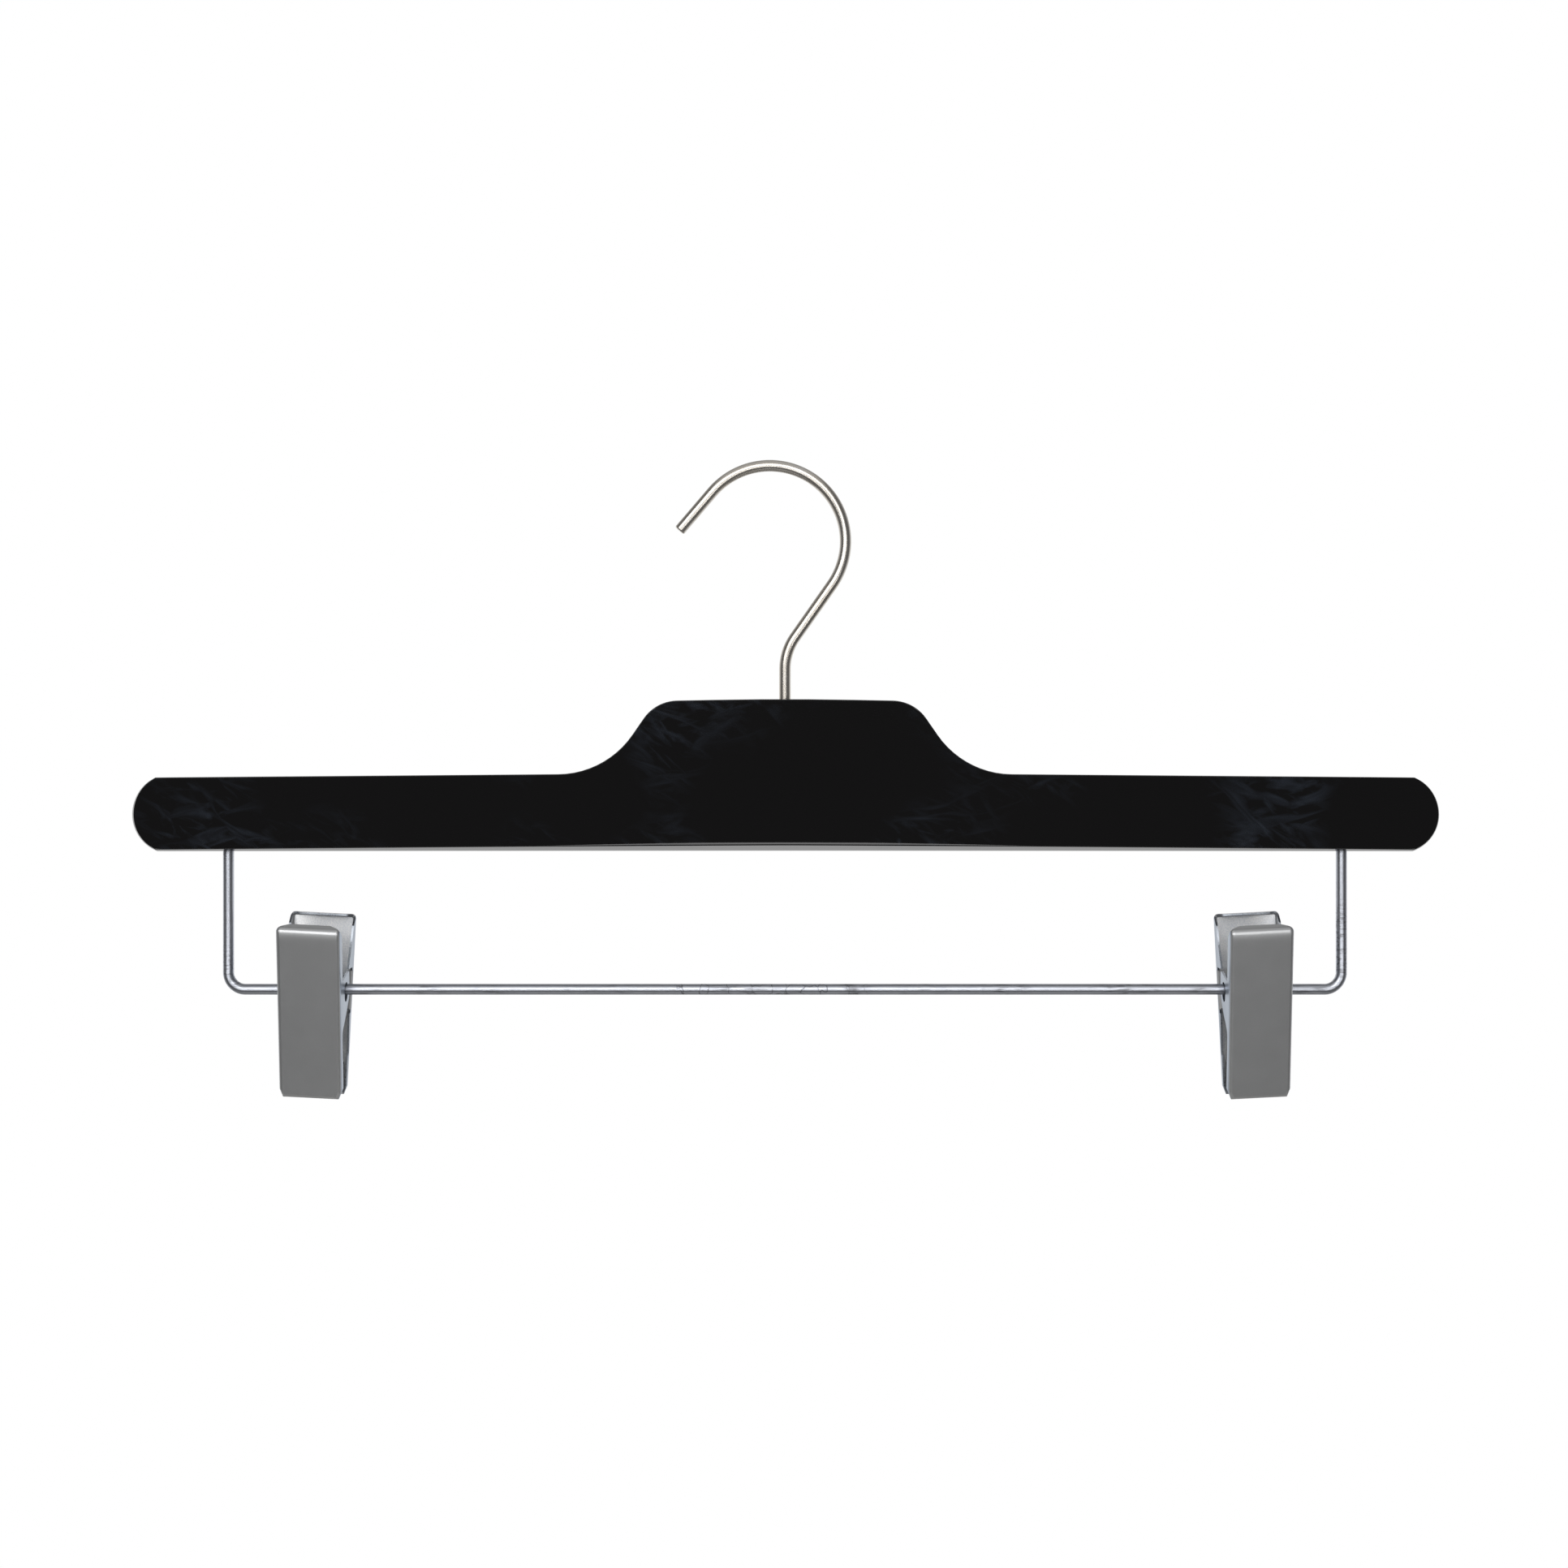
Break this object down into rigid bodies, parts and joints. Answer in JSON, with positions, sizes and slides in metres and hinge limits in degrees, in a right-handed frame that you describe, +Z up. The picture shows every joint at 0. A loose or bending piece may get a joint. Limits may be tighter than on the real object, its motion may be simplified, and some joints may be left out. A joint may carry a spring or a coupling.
{
  "type": "trouser hanger",
  "caption": "Flat lacquered wooden hanger for trousers and skirts: a swivelling wire hook in a raised neck, and sprung clips that slide along a wire bar under the beam.",
  "frame": {"origin": "the point inside the hook's crown that rests on the rail", "axes": "+Z up, +X along the beam towards the side that the hook's back is on, -Y the front"},
  "size_m": [0.36, 0.0222, 0.1774],
  "materials": {
    "lacquered_wood": "black high-gloss lacquer over wood",
    "hook_wire": "satin nickel plating on drawn wire",
    "bush_brass": "plain turned brass",
    "bar_wire": "zinc plating on drawn wire, with fine scuffs",
    "clip_paint": "satin silver-grey paint on pressed sheet, brighter on the flanges",
    "spring_wire": "oiled spring wire",
    "pad_rubber": "matte black, ribbed"
  },
  "bodies": {
    "hook": {"hook": "hook_wire"},
    "beam": {"beam": "lacquered_wood", "hook_bush": "bush_brass", "clip_bar": "bar_wire"},
    "left_carriage": {"left_spring": "spring_wire"},
    "left_back_jaw": {"left_back_shell": "clip_paint", "left_back_pad": "pad_rubber"},
    "left_front_jaw": {"left_front_shell": "clip_paint", "left_front_pad": "pad_rubber"},
    "right_carriage": {"right_spring": "spring_wire"},
    "right_back_jaw": {"right_back_shell": "clip_paint", "right_back_pad": "pad_rubber"},
    "right_front_jaw": {"right_front_shell": "clip_paint", "right_front_pad": "pad_rubber"}
  },
  "joints": [
    {"name": "hook_swivel", "type": "hinge", "parent": "hook", "child": "beam", "pos_m": [0.0042, 0, -0.0631], "axis": [0, 0, 1], "continuous": true},
    {"name": "left_slide", "type": "slide", "parent": "beam", "child": "left_carriage", "axis": [1, 0, 0], "range_m": [-0.01, 0.118]},
    {"name": "left_swing", "type": "hinge", "parent": "left_carriage", "child": "left_back_jaw", "pos_m": [-0.1261, 0, -0.14348], "axis": [1, 0, 0], "continuous": true},
    {"name": "left_jaw", "type": "hinge", "parent": "left_back_jaw", "child": "left_front_jaw", "pos_m": [-0.1261, 0, -0.14378], "axis": [-0.9987, 0, 0.0506], "range_deg": [0, 30], "stiffness_Nm_per_rad": 0.15, "springref_deg": -45.84, "deforming": ["left_spring"]},
    {"name": "right_slide", "type": "slide", "parent": "beam", "child": "right_carriage", "axis": [-1, 0, 0], "range_m": [-0.01, 0.118]},
    {"name": "right_swing", "type": "hinge", "parent": "right_carriage", "child": "right_back_jaw", "pos_m": [0.1345, 0, -0.14348], "axis": [1, 0, 0], "continuous": true},
    {"name": "right_jaw", "type": "hinge", "parent": "right_back_jaw", "child": "right_front_jaw", "pos_m": [0.1345, 0, -0.14378], "axis": [-0.9987, 0, -0.0506], "range_deg": [0, 30], "stiffness_Nm_per_rad": 0.15, "springref_deg": -45.84, "deforming": ["right_spring"]}
  ]
}
